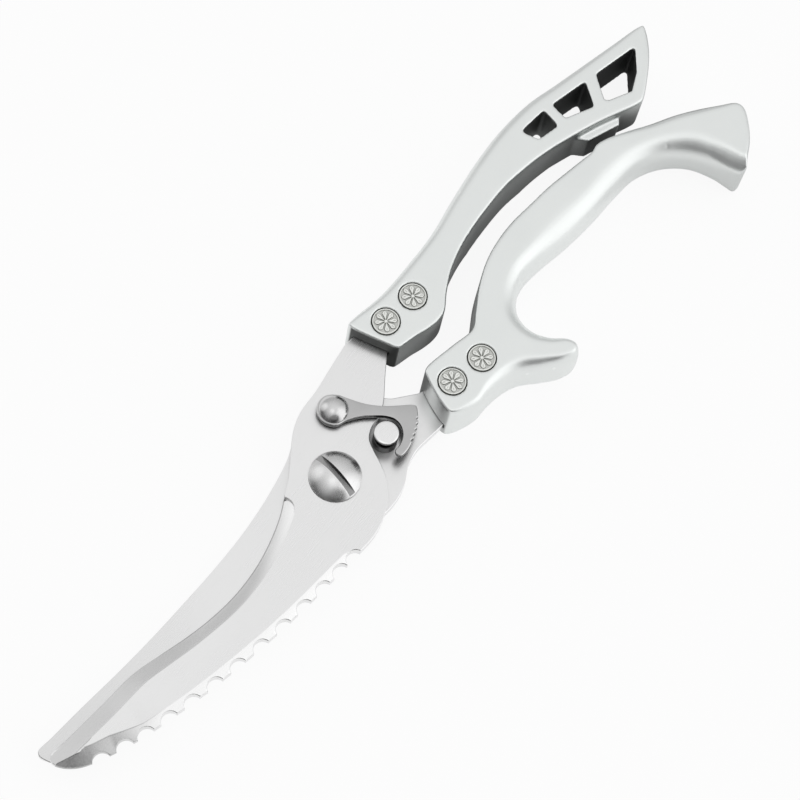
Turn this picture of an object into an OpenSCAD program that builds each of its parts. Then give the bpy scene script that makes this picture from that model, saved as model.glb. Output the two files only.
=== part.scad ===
/* [Overall] */
// Height of the plane where the two blades slide on each other
contact_z = 6; // [5.5:0.1:6.5]
// Thickness of each blade
blade_t = 3; // [2.8:0.05:3]
// Running gap between the two blades
blade_gap = 0.05; // [0.03:0.01:0.08]

/* [Handles] */
// Depth of the upper handle, front to back
upper_depth = 14.5; // [14:0.1:15.5]
// Depth of the lower handle, front to back
lower_depth = 17; // [16:0.1:18]
// Corner radius of the handle windows
window_corner = 0.8; // [0.4:0.1:1]
// How far the stop lug's front face sits below the upper handle's front face
lug_drop = 2.8; // [2:0.1:3.5]

/* [Blade edges] */
// Width of the hollow-ground bevel beside the cutting edge
bevel_w = 4.1; // [3:0.1:4.5]
// Depth of the hollow-ground bevel at the cutting edge
bevel_d = 2.5; // [1.5:0.1:2.6]
// Width of the bevel on the scaler spine
spine_bevel_w = 3.6; // [2.5:0.1:4]
// Depth of the bevel on the scaler spine
spine_bevel_d = 1.2; // [0.6:0.1:1.6]
// Number of scallops in the fish scaler
scallops = 12; // [8:1:12]
// Radius of one scallop
scallop_r = 2.5; // [2:0.1:2.6]

/* [Pivot] */
// Diameter of the domed pivot screw head
pivot_head_d = 14; // [12:0.5:14.5]
// Diameter of the nut barrel that the blades turn on
barrel_d = 7; // [6.5:0.1:7.2]
// Thickness of the nut flange
flange_t = 2.2; // [2:0.1:2.4]
// Wire diameter of the opening spring
wire_d = 1.1; // [0.9:0.05:1.15]
// Number of coils in the opening spring
coils = 2; // [1:1:2]

/* [Latch] */
// Thickness of the latch lever
lever_t = 2; // [1.6:0.1:2.2]
// Diameter of the stud that the latch hooks onto
stud_d = 6.6; // [6:0.1:6.8]
// Diameter of the stud's neck, where the hook sits
stud_neck_d = 4.8; // [4.4:0.1:5]
// Height of the stud above the contact plane
stud_h = 6.7; // [6.5:0.1:7.2]
// Diameter of the latch rivet's domed head
rivet_head_d = 7.8; // [7:0.1:8]

/* [Handle fasteners] */
// Diameter of the rosette heads
rosette_d = 7.6; // [7:0.1:7.8]
// Diameter of the post barrels
post_d = 5; // [4.6:0.1:5.2]
// Number of petals on a rosette
petals = 8; // [6:1:8]

/* [Hidden] */
$fn = 64;
eps = 0.5;
fit = 0.05;
front_z = contact_z + blade_gap;
front_top = front_z + blade_t;
rear_bottom = contact_z - blade_t;
washer_t = rear_bottom - flange_t;
latch_washer_t = 0.35;
lever_z = front_top + latch_washer_t;
lever_top = lever_z + lever_t;
rivet_pos = [13.8, 11.3];
stud_pos = [16.9, -3.6];
upper_posts = [[41.1, 15.1], [51.4, 13.9]];
lower_posts = [[37.6, -9.1], [47.8, -11.2]];
post_head_t = 1.4;
screw_head_t = 1.6;
screw_head_d = 6.4;
screw_d = 3;
pocket_r = 7;
pocket_depth = 1.35;
coil_r = 5.25;
rear_leg = 215;
front_leg = 75;
leg_travel = 30;
leg_end = 9.6;
flange_r = 6.5;
shank_r = 2;
sink_r = 3;
sink_h = 1;
stud_tail_h = 0.6;
slot_turn = 79;
slot_w = 1.8;
slot_deep = 2.5;
serration_r = 0.5;
tip_scallop = [-95.1, -0.2];
cast_colour = [0.85, 0.87, 0.86];
steel_colour = [0.88, 0.88, 0.88];
dark_steel = [0.68, 0.68, 0.68];

// Outlines run counter-clockwise. A handle point is [x, y, edge inset, edge drop].
upper_outline = [
    [36.5, 9.9, 0.5, 0.5], [36.8, 8.7, 0.45, 0.5], [37.3, 8, 0.42, 0.5], [38.2, 7.65, 0.45, 0.5],
    [42.5, 6.5, 0.6, 0.6],
    [47, 5, 0.7, 0.7], [50.5, 4.4, 0.8, 0.8], [53.4, 4.8, 0.8, 0.8], [58.5, 7.8, 0.8, 0.8],
    [65, 10.8, 0.8, 0.8], [74, 13.3, 0.8, 0.8], [84, 14.2, 0.8, 0.8], [94, 14.2, 0.8, 0.8],
    [104, 12.5, 0.8, 0.8], [115, 9.1, 0.8, 0.8], [126, 5, 0.8, 0.8], [136.6, 0.2, 0.8, 0.8],
    [138.4, -0.2, 0.8, 0.8], [145, 2.7, 0.8, 0.8], [152.2, 7.1, 0.9, 0.9], [156.8, 11.4, 0.7, 0.9],
    [157.8, 13.2, 0.4, 0.8], [156.4, 14.1, 0.8, 1], [148, 16.4, 1.6, 1.8], [138, 19, 2, 2.4],
    [128, 21.6, 2.4, 3], [118, 24.2, 2.6, 3.4], [106, 25.3, 2.8, 3.8], [95, 24.8, 2.8, 4],
    [82, 23.2, 2.6, 4], [70, 21.3, 2.4, 3.6], [58, 20.8, 2.4, 3.2], [47, 21, 2.2, 3],
    [36.5, 22.5, 1.2, 1.8], [34.2, 22.3, 0.5, 0.9], [34, 21, 0.5, 0.7]];

lower_outline = [
    [30.3, -13.2, 0.6, 0.7], [30.9, -14.6, 0.6, 0.8], [33.4, -16.4, 1.2, 1.6], [37.9, -18.3, 2, 3],
    [42.5, -18.7, 3, 4.4], [47.2, -19.6, 3.6, 5.4], [51.9, -21.6, 3.8, 6], [56.7, -25.8, 3.2, 6.6],
    [61.1, -29.2, 2.4, 7], [65.4, -30.6, 2, 7.2], [68.1, -28.5, 1.8, 7.2], [67.8, -25.1, 2.2, 7],
    [65.3, -21, 3.4, 6.8], [64, -16.4, 4.4, 6.6], [65.3, -11.3, 5, 6.6], [69, -8, 5, 6.6],
    [75, -6.2, 5.2, 6.6], [82, -6.7, 5.6, 6.8], [92, -8.6, 7.2, 7], [103, -9.8, 6.8, 7],
    [113, -10.2, 6.8, 7], [121.6, -11.2, 5.8, 7], [128.9, -14.9, 5.4, 7], [133.9, -20.9, 6, 7],
    [136.2, -27.6, 4.6, 6.6], [137, -31, 2.8, 6], [138, -33.9, 1.2, 5], [139.4, -34.5, 0.8, 4],
    [141.7, -33.1, 1, 2.4], [146.4, -30.6, 1.1, 1.6], [150.4, -27.4, 1.1, 1.2],
    [153.6, -23.6, 1, 1.2], [153.6, -21.2, 1, 1.4], [150, -17.3, 2, 3],
    [145.4, -13.2, 2.8, 4], [140, -9.5, 2.8, 4], [133.4, -6, 2.4, 3.4], [126.6, -2.1, 1.6, 2.2],
    [121.6, 0.4, 0.9, 1], [118, 1.5, 0.5, 0.9], [115.6, 1.2, 0.5, 0.9], [112, 1.9, 0.8, 0.9],
    [106, 3.1, 1, 1], [99.5, 4.3, 1, 1], [92, 5.1, 1, 1], [85, 5.8, 1, 1], [78, 5.6, 1, 1],
    [71.3, 4.4, 1, 1], [64, 1.6, 1, 1], [57.5, -2, 0.8, 0.9], [53, -4.3, 0.6, 0.8],
    [46, -3, 0.8, 0.8], [37, -1.4, 0.6, 0.8], [35.4, -1.9, 0.5, 0.7]];

front_tang_top = [[31, 20.5], [24, 19.6], [16, 18.5], [8.5, 18], [3.5, 16.4], [-2, 13.1], [-8, 9.2]];
cutting_edge = [[-12.3, 7.1], [-17, 4.9], [-24, 2.7], [-32, 1.2], [-41, 0.9], [-49.5, 1.9], [-57, 3.6],
                [-65, 6], [-73, 8.2], [-84, 9.2], [-95, 10.3], [-101.6, 10.9]];
front_tip = [[-103, 9.6], [-102.4, 7], [-100, 3.8], [-96.6, 1.4]];
scaler_spine = [[-92, -0.9], [-84, -4.2], [-74, -7.2], [-63.5, -9.9], [-52.5, -12.2], [-41, -14.2],
                [-30, -15.6], [-20, -16.6], [-12.5, -17.3]];
front_heel = [[-6.5, -17.6], [-1.5, -16.7], [3.6, -14.4], [7.6, -11.1], [10.2, -7.2], [12, -3.6],
              [13.9, -0.6], [17, 0.9], [20.6, 1.1], [24.6, 2.8], [30, 6.4], [36.2, 10.4]];
front_tab = [[42, 11], [56, 9.8], [57, 11], [57, 16.4], [56, 17.6], [42, 19.2]];

rear_spine = [[27.6, 2.2], [24, 7.4], [17, 13], [9, 15.8], [3, 15.4], [-3, 13.2], [-9, 11.8], [-18, 10.4],
              [-28, 9.6], [-39, 9.5], [-51, 9.9], [-63, 10.5], [-75, 11.5], [-88, 12.9], [-98, 13.8],
              [-102.5, 14.2]];
rear_tip = [[-103.3, 13.2], [-103.1, 11], [-102.4, 9.3]];
rear_edge = [[-99, 8.3], [-90, 7.5], [-80, 6.6], [-72, 5.2], [-64, 2.9], [-55, 0.4], [-46, -1.1],
             [-38, -1.6], [-30, -1.5], [-22, -1.2]];
rear_heel = [[-15.5, -3], [-11.5, -8], [-6.5, -13], [-0.5, -15.4], [5.8, -15.9], [10.8, -14.9],
             [15, -12.8], [20, -11.7], [25.4, -12.2], [30.6, -12.9]];
rear_tab = [[37, -14.2], [52.4, -15.6], [53.4, -14.6], [53, -7.8], [52, -6.8], [38, -4.2], [33.2, -2.4]];

lever_outline = [
    [9.4, 11.3], [10.6, 8.2], [13.4, 6.9], [16.6, 4.6], [19, 2], [20.9, -0.6], [21.7, -2.9],
    [21.2, -5.2], [19.4, -7.2], [16.8, -8.1], [15, -8.1], [14.3, -8.9], [14.6, -10.1],
    [16.6, -10.5], [20.6, -9.8], [24.4, -8.4], [27.4, -6], [28.2, -4.9], [27.8, -3.9], [25.5, -1.4],
    [22.6, 2], [20.2, 6], [18.8, 9.8], [17.6, 13.2], [15.4, 15.4], [12.6, 15.6], [10.2, 14]];
serrations = [[25.7, -7.6], [24.4, -8.5], [22.95, -9.15], [21.45, -9.65], [19.95, -10.05]];

window_fore = [[109.3, 20.2], [110.4, 15.1], [117.1, 13.4], [118.4, 19.2]];
window_mid = [[121.3, 18.4], [120.4, 13.2], [128.3, 9.2], [133, 15.5]];
window_aft = [[136.8, 14.5], [131.9, 8.2], [132.4, 7.2], [138.9, 3.8], [144.6, 6.2], [150.8, 11.1]];
lug_points = [[116.6, 10.5], [120.2, 4.6], [129.6, 0.9], [133.4, 4]];

// Centripetal Catmull-Rom curve between b and c, with neighbours a and d
function gap(a, b) = sqrt(norm([b[0] - a[0], b[1] - a[1]]));
function tangent(a, b, c, ab, bc) = ((b - a) / ab - (c - a) / (ab + bc) + (c - b) / bc);
function between(a, b, c, d, u) =
    let (ab = gap(a, b), bc = gap(b, c), cd = gap(c, d),
         m = bc * tangent(a, b, c, ab, bc), n = bc * tangent(b, c, d, bc, cd))
    (2 * u * u * u - 3 * u * u + 1) * b + (u * u * u - 2 * u * u + u) * m
    + (3 * u * u - 2 * u * u * u) * c + (u * u * u - u * u) * n;
function closed_curve(p, steps) =
    let (n = len(p))
    [for (i = [0 : n - 1], s = [0 : steps - 1])
        between(p[(i + n - 1) % n], p[i], p[(i + 1) % n], p[(i + 2) % n], s / steps)];
function open_curve(p, steps) =
    let (n = len(p), q = concat([2 * p[0] - p[1]], p, [2 * p[n - 1] - p[n - 2]]))
    [for (i = [1 : n - 1], s = [0 : steps - 1]) between(q[i - 1], q[i], q[i + 1], q[i + 2], s / steps),
     p[n - 1]];

// Unit vector pointing into a counter-clockwise outline at point i
function unit(v) = v / norm(v);
function inward(p, i, wrap) =
    let (n = len(p), a = wrap ? p[(i + n - 1) % n] : p[max(i - 1, 0)],
         b = wrap ? p[(i + 1) % n] : p[min(i + 1, n - 1)], t = unit([b[0] - a[0], b[1] - a[1]]))
    [-t[1], t[0]];

// Solid skin over a row of sections that all have the same number of points. A looped row closes on
// itself, and an open row is capped at both ends.
module skin(sections, looped = false) {
    n = len(sections[0]);
    rows = len(sections);
    points = [for (s = sections) each s];
    sides = [for (k = [0 : looped ? rows - 1 : rows - 2], i = [0 : n - 1])
        let (j = (i + 1) % n, next = (k + 1) % rows) each [
            [k * n + i, next * n + i, next * n + j],
            [k * n + i, next * n + j, k * n + j]]];
    caps = looped ? []
        : [[for (i = [0 : n - 1]) i], [for (i = [n - 1 : -1 : 0]) (rows - 1) * n + i]];
    polyhedron(points, concat(sides, caps), convexity = 10);
}

// Cutter that rounds the edge at height top all round an outline of [x, y, inset, drop] points
module round_edge(path, top, edge_steps) {
    skin([for (i = [0 : len(path) - 1])
        let (c = inward(path, i, true), a = path[i][2], b = path[i][3],
             shape = concat([[-0.6, top + 0.6], [-0.6, top - b]],
                            [for (k = [0 : edge_steps]) let (t = 90 * k / edge_steps)
                                [a * (1 - cos(t)), top - b * (1 - sin(t))]],
                            [[a, top + 0.6]]))
        [for (q = shape) [path[i][0] + c[0] * q[0], path[i][1] + c[1] * q[0], q[1]]]], true);
}

// Handle casting with elliptical edges, front and back
module casting(outline, depth) {
    path = closed_curve(outline, 3);
    difference() {
        linear_extrude(depth) polygon([for (q = path) [q[0], q[1]]]);
        round_edge(path, depth, 4);
        translate([0, 0, depth]) mirror([0, 0, 1]) round_edge(path, depth, 4);
    }
}

// Grinding cutter that follows an edge and removes a bevel from the face at height top.
// Points are [x, y, width, depth] and hollow above 1 makes the ground face concave.
module grind(points, top, hollow) {
    path = open_curve(points, 4);
    runs = [0, 0.35, 0.7, 1];
    sections = [for (i = [0 : len(path) - 1])
        let (c = inward(path, i, false), w = max(path[i][2], 0.05), d = max(path[i][3], 0.05),
             shape = concat([[-2, top + 1], [-2, top - d]],
                            [for (r = runs) [r * w, top - d + d * pow(r, hollow)]],
                            [[w + 0.2, top + 1]]))
        [for (s = shape) [path[i][0] + c[0] * s[0], path[i][1] + c[1] * s[0], s[1]]]];
    skin(sections);
}

function with_bevel(p, w, d) = [for (i = [0 : len(p) - 1]) [p[i][0], p[i][1], w, d]];

module plate(points, z, t) {
    translate([0, 0, z]) linear_extrude(t) polygon(points);
}

module bore(pos, z, h, r) {
    translate([pos[0], pos[1], z]) cylinder(h = h, r = r);
}

// Radial leg slot, swept through an arc so that the spring leg stays clear
module leg_slot(z, h, from, to) {
    width = wire_d + 0.4;
    reach = leg_end + 0.8;
    translate([0, 0, z]) {
        for (a = [from, to])
            rotate(a) translate([0, -width / 2]) cube([reach, width, h]);
        if (to > from)
            rotate(from) rotate_extrude(angle = to - from) square([reach, h]);
    }
}

module front_blade() {
    outline = open_curve(concat(front_tang_top, cutting_edge, front_tip, scaler_spine, front_heel), 4);
    spine_path = open_curve(scaler_spine, 8);
    run = len(spine_path) - 1;
    color(steel_colour) difference() {
        plate(concat(outline, front_tab), front_z, blade_t);
        grind(concat([[-9, 9.1, 0.05, 0.05], [-11.2, 7.9, 0.4, 0.3]],
                     [for (i = [0 : len(cutting_edge) - 1])
                         let (grow = min(1, 0.45 + 0.3 * i) * bevel_w * (i < 7 ? 0.92 : 1.1))
                         [cutting_edge[i][0], cutting_edge[i][1], grow, bevel_d]],
                     [[-106, 11.3, bevel_w, bevel_d]]), front_top, 1.5);
        grind(concat([[-101.6, 5.2, 2.6, spine_bevel_d], [-98, 2.2, 3, spine_bevel_d]],
                     with_bevel(scaler_spine, spine_bevel_w, spine_bevel_d),
                     [[-10, -17.8, 0.4, 0.3]]), front_top, 1);
        for (k = [0 : scallops - 1]) {
            at = spine_path[round((k + 0.6) * run / scallops)];
            out = inward(spine_path, round((k + 0.6) * run / scallops), false);
            bore([at[0] - out[0] * 0.6, at[1] - out[1] * 0.6], front_z - eps, blade_t + 2 * eps, scallop_r);
        }
        bore(tip_scallop, front_z - eps, blade_t + 2 * eps, scallop_r);
        bore([0, 0], front_z - eps, blade_t + 2 * eps, barrel_d / 2 + fit);
        bore([0, 0], front_z - eps, eps + pocket_depth, pocket_r);
        leg_slot(front_z - eps, eps + pocket_depth, front_leg - leg_travel, front_leg + 5);
        bore(rivet_pos, front_z - eps, blade_t + 2 * eps, shank_r + fit / 2);
        translate([rivet_pos[0], rivet_pos[1], front_z - 0.02])
            cylinder(h = sink_h + 0.04, r1 = sink_r + 0.04, r2 = shank_r);
        for (p = upper_posts) bore(p, front_z - eps, blade_t + 2 * eps, post_d / 2 + fit);
    }
}

module rear_blade() {
    outline = open_curve(concat(rear_spine, rear_tip, rear_edge, rear_heel), 4);
    color(steel_colour) difference() {
        plate(concat(outline, rear_tab), rear_bottom, blade_t);
        translate([0, 0, 2 * rear_bottom]) mirror([0, 0, 1])
            grind(concat([[-106, 10.6, bevel_w, bevel_d], [-102.6, 9.2, bevel_w, bevel_d]],
                         [for (i = [0 : len(rear_edge) - 1])
                             let (w = i < len(rear_edge) - 1 ? bevel_w : 1.6)
                             [rear_edge[i][0], rear_edge[i][1], w, bevel_d]],
                         [[-17, -2.2, 0.3, 0.2]]), rear_bottom, 1.5);
        bore([0, 0], rear_bottom - eps, blade_t + 2 * eps, barrel_d / 2 + fit);
        bore([0, 0], contact_z - pocket_depth, pocket_depth + eps, pocket_r);
        leg_slot(contact_z - pocket_depth, pocket_depth + eps, rear_leg, rear_leg);
        bore(stud_pos, rear_bottom - eps, blade_t + 2 * eps, shank_r + fit / 2);
        for (p = lower_posts) bore(p, rear_bottom - eps, blade_t + 2 * eps, post_d / 2 + fit);
    }
}

// Holes through a handle for one post and its rear screw
module post_hole(pos, depth) {
    bore(pos, -eps, depth + 2 * eps, post_d / 2 + fit);
    bore(pos, depth - post_head_t, post_head_t + eps, rosette_d / 2 + 0.12);
    bore(pos, -eps, screw_head_t + 0.2 + eps, screw_head_d / 2 + 0.1);
}

module window(points) {
    translate([0, 0, -eps]) linear_extrude(upper_depth + 2 * eps)
        offset(r = window_corner) offset(delta = -window_corner) polygon(points);
}

module upper_handle() {
    tab = [[30, 20.75], [42, 19.35], [56.2, 17.75], [57.2, 16.6], [57.2, 10.9], [56.2, 9.65], [42, 10.85],
           [36, 10.2], [33, 8]];
    color(cast_colour) difference() {
        union() {
            casting(upper_outline, upper_depth);
            translate([0, 0, 1.5]) linear_extrude(upper_depth - lug_drop - 1.5) polygon(lug_points);
        }
        for (w = [window_fore, window_mid, window_aft]) window(w);
        plate(tab, front_z - fit, blade_t + 2 * fit);
        for (p = upper_posts) post_hole(p, upper_depth);
    }
}

module lower_handle() {
    tab = [[27, -12.3], [30.6, -13.1], [37, -14.35], [52.6, -15.8], [53.6, -14.7], [53.2, -7.7], [52, -6.6],
           [38, -4.05], [33.2, -2.2], [28, 0]];
    color(cast_colour) difference() {
        casting(lower_outline, lower_depth);
        plate(tab, rear_bottom - fit, blade_t + 2 * fit);
        for (p = lower_posts) post_hole(p, lower_depth);
    }
}

// Pivot screw with a slotted dome head, standing on the nut's barrel
module pivot_screw() {
    head_z = front_top + fit;
    dome_h = 3.2;
    head_r = pivot_head_d / 2;
    ball_r = (head_r * head_r + dome_h * dome_h) / (2 * dome_h);
    color(steel_colour) difference() {
        union() {
            intersection() {
                translate([0, 0, head_z + dome_h + 0.3 - ball_r]) sphere(r = ball_r, $fn = 128);
                bore([0, 0], head_z, dome_h + 1, head_r);
            }
            bore([0, 0], flange_t + 0.6, head_z - flange_t - 0.3, barrel_d / 2 - 1 - fit);
        }
        rotate(slot_turn) translate([-head_r - 1, -slot_w / 2, head_z + dome_h - slot_deep])
            cube([pivot_head_d + 2, slot_w, 2 * slot_deep]);
    }
}

// Low-profile barrel nut: flange below the rear blade, blind barrel up through both blades
module pivot_nut() {
    color(steel_colour) difference() {
        union() {
            cylinder(h = flange_t, r = flange_r);
            cylinder(h = front_top + fit, r = barrel_d / 2);
        }
        bore([0, 0], flange_t, front_top, barrel_d / 2 - 1);
    }
}

module pivot_washer() {
    color(dark_steel) difference() {
        bore([0, 0], flange_t, washer_t, flange_r - 0.5);
        bore([0, 0], flange_t - eps, washer_t + 2 * eps, barrel_d / 2 + fit);
    }
}

// Torsion spring: a wire that follows a leg, the coils and a second leg
module pivot_spring() {
    low = contact_z - pocket_depth + wire_d / 2 + 0.05;
    high = front_z + pocket_depth - wire_d / 2 - 0.05;
    sweep = 360 * coils + front_leg - rear_leg;
    turns = 40;
    centre = concat(
        [[leg_end * cos(rear_leg), leg_end * sin(rear_leg), low]],
        [for (i = [0 : turns]) let (a = rear_leg + sweep * i / turns)
            [coil_r * cos(a), coil_r * sin(a), low + (high - low) * i / turns]],
        [[leg_end * cos(front_leg), leg_end * sin(front_leg), high]]);
    n = len(centre);
    rings = [for (i = [0 : n - 1])
        let (t = unit(centre[min(i + 1, n - 1)] - centre[max(i - 1, 0)]),
             side = unit(cross([0, 0, 1], t)), up = cross(t, side))
        [for (k = [0 : 9]) centre[i] + wire_d / 2 * (cos(36 * k) * side + sin(36 * k) * up)]];
    color(dark_steel) skin(rings);
}

module latch_lever() {
    color(dark_steel) difference() {
        plate(closed_curve(lever_outline, 4), lever_z, lever_t);
        bore(rivet_pos, lever_z - eps, lever_t + 2 * eps, shank_r + fit);
        for (p = serrations) bore(p, lever_z - eps, lever_t + 2 * eps, serration_r);
    }
}

module latch_rivet() {
    dome_h = 2.2;
    head_r = rivet_head_d / 2;
    ball_r = (head_r * head_r + dome_h * dome_h) / (2 * dome_h);
    color(steel_colour) translate([rivet_pos[0], rivet_pos[1], 0]) {
        intersection() {
            translate([0, 0, lever_top + fit + dome_h - ball_r]) sphere(r = ball_r, $fn = 96);
            bore([0, 0], lever_top + fit, dome_h + 1, head_r);
        }
        bore([0, 0], front_z + 0.5, lever_top + 0.1 - front_z, shank_r);
        translate([0, 0, front_z]) cylinder(h = sink_h, r1 = sink_r, r2 = shank_r);
    }
}

module latch_washer() {
    color(steel_colour) difference() {
        bore(rivet_pos, front_top, latch_washer_t, 2 * shank_r);
        bore(rivet_pos, front_top - eps, latch_washer_t + 2 * eps, shank_r + fit);
    }
}

// Stud with a broad foot at blade height, a neck for the hook and a flat chamfered head
module stop_stud() {
    foot_top = lever_z - 0.15;
    head_z = lever_top + 0.15;
    top_z = contact_z + stud_h;
    chamfer = 0.35;
    color(steel_colour) translate([stud_pos[0], stud_pos[1], 0]) {
        bore([0, 0], contact_z, foot_top - contact_z, stud_d / 2);
        bore([0, 0], foot_top - eps, head_z - foot_top + 2 * eps, stud_neck_d / 2);
        bore([0, 0], head_z, top_z - chamfer - head_z, stud_d / 2);
        translate([0, 0, top_z - chamfer])
            cylinder(h = chamfer, r1 = stud_d / 2, r2 = stud_d / 2 - chamfer);
        bore([0, 0], rear_bottom - stud_tail_h, blade_t + 1, shank_r);
        bore([0, 0], rear_bottom - stud_tail_h, stud_tail_h, sink_r);
    }
}

// Rosette: one leaf-shaped sunken petal, in the head's own plane
module petal(length, width) {
    steps = 8;
    side = [for (i = [0 : steps]) [length * i / steps, width / 2 * sin(180 * pow(i / steps, 1.3))]];
    polygon(concat(side, [for (i = [steps - 1 : -1 : 1]) [side[i][0], -side[i][1]]]));
}

// Blind post with a flush rosette head on the handle's front face
module post(pos, depth) {
    relief = 0.35;
    color([0.76, 0.77, 0.74]) translate([pos[0], pos[1], 0]) difference() {
        union() {
            bore([0, 0], depth - post_head_t, post_head_t, rosette_d / 2);
            bore([0, 0], screw_head_t + 0.2, depth - screw_head_t - post_head_t, post_d / 2);
        }
        bore([0, 0], 0, depth - post_head_t - 1.5, screw_d / 2 + fit);
        for (k = [0 : petals - 1])
            rotate(360 * k / petals) translate([0.7, 0, depth - relief]) linear_extrude(1)
                petal(rosette_d / 2 - 1.5, 1.7);
    }
}

// Pan-head screw that enters a post from the back of the handle
module rear_screw(pos, depth) {
    color(steel_colour) translate([pos[0], pos[1], 0]) difference() {
        union() {
            bore([0, 0], 0.2, screw_head_t, screw_head_d / 2);
            bore([0, 0], 0.2, depth - post_head_t - 3, screw_d / 2);
        }
        translate([-screw_head_d, -0.5, -eps]) cube([2 * screw_head_d, 1, eps + 1]);
    }
}

module upper_fore_post() { post(upper_posts[0], upper_depth); }
module upper_aft_post() { post(upper_posts[1], upper_depth); }
module lower_fore_post() { post(lower_posts[0], lower_depth); }
module lower_aft_post() { post(lower_posts[1], lower_depth); }
module upper_fore_screw() { rear_screw(upper_posts[0], upper_depth); }
module upper_aft_screw() { rear_screw(upper_posts[1], upper_depth); }
module lower_fore_screw() { rear_screw(lower_posts[0], lower_depth); }
module lower_aft_screw() { rear_screw(lower_posts[1], lower_depth); }

front_blade();
rear_blade();
upper_handle();
lower_handle();
pivot_screw();
pivot_nut();
pivot_washer();
pivot_spring();
latch_lever();
latch_rivet();
latch_washer();
stop_stud();
upper_fore_post();
upper_aft_post();
lower_fore_post();
lower_aft_post();
upper_fore_screw();
upper_aft_screw();
lower_fore_screw();
lower_aft_screw();
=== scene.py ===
import math

import bmesh
import bpy
import numpy as np
from mathutils import Matrix, Vector
from mathutils.geometry import delaunay_2d_cdt


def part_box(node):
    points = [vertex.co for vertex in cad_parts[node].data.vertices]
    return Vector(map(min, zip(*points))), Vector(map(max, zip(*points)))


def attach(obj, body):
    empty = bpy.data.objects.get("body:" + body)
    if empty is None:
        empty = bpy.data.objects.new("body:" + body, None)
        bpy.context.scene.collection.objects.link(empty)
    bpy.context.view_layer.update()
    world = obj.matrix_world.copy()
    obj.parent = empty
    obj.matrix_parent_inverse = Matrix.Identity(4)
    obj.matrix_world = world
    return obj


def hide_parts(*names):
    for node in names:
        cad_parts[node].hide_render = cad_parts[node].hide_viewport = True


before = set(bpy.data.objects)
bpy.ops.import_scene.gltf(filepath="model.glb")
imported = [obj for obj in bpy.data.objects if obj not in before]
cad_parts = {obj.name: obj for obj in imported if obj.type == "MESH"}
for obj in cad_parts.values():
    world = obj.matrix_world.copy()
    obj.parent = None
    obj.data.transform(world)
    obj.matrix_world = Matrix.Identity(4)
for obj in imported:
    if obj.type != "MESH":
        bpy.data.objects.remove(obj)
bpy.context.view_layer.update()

# ---------------------------------------------------------------- sizes, in millimetres
MM = 0.001
CONTACT_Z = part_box("rear_blade")[1].z / MM
FRONT_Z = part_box("front_blade")[0].z / MM
FRONT_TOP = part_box("front_blade")[1].z / MM
REAR_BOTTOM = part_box("rear_blade")[0].z / MM
UPPER_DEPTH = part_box("upper_handle")[1].z / MM
LOWER_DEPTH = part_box("lower_handle")[1].z / MM
LEVER_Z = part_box("latch_lever")[0].z / MM
LEVER_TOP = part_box("latch_lever")[1].z / MM


def centre_of(node):
    low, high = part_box(node)
    return [(low.x + high.x) / 2 / MM, (low.y + high.y) / 2 / MM]


def width_of(node):
    low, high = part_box(node)
    return (high.x - low.x) / MM


RIVET = centre_of("latch_rivet")
STUD = centre_of("stop_stud")
UPPER_POSTS = [centre_of("upper_fore_post"), centre_of("upper_aft_post")]
LOWER_POSTS = [centre_of("lower_fore_post"), centre_of("lower_aft_post")]
ROSETTE_R = width_of("upper_fore_post") / 2
POST_HEAD_T = 1.4
POST_R = 2.5
SCREW_SINK_R = 3.3
SCREW_SINK_T = 1.8
BARREL_R = 3.55
PIN_R = 2
PIN_FOOT_R = 3
PLAY = 0.05

# Handle outlines, counter-clockwise: x, y, how far the edge curves inward, how far it drops
UPPER_OUTLINE = [
    [36.5, 9.9, 0.5, 0.5], [36.8, 8.7, 0.45, 0.5], [37.3, 8, 0.42, 0.5], [38.2, 7.65, 0.45, 0.5],
    [42.5, 6.5, 0.6, 0.6], [47, 5, 0.7, 0.7], [50.5, 4.4, 0.8, 0.8], [53.4, 4.8, 0.8, 0.8],
    [58.5, 7.8, 0.8, 0.8],
    [65, 10.8, 0.8, 0.8], [74, 13.3, 0.8, 0.8], [84, 14.2, 0.8, 0.8], [94, 14.2, 0.8, 0.8],
    [104, 12.5, 0.8, 0.8], [115, 9.1, 0.8, 0.8], [126, 5, 0.8, 0.8], [136.6, 0.2, 0.8, 0.8],
    [138.4, -0.2, 0.8, 0.8], [145, 2.7, 0.8, 0.8], [152.2, 7.1, 0.9, 0.9], [156.8, 11.4, 0.7, 0.9],
    [157.8, 13.2, 0.4, 0.8], [156.4, 14.1, 0.8, 1], [148, 16.4, 1.6, 1.8], [138, 19, 2, 2.4],
    [128, 21.6, 2.4, 3], [118, 24.2, 2.6, 3.4], [106, 25.3, 2.8, 3.8], [95, 24.8, 2.8, 4],
    [82, 23.2, 2.6, 4], [70, 21.3, 2.4, 3.6], [58, 20.8, 2.4, 3.2], [47, 21, 2.2, 3],
    [36.5, 22.5, 1.2, 1.8], [34.2, 22.3, 0.5, 0.9], [34, 21, 0.5, 0.7]]
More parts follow.
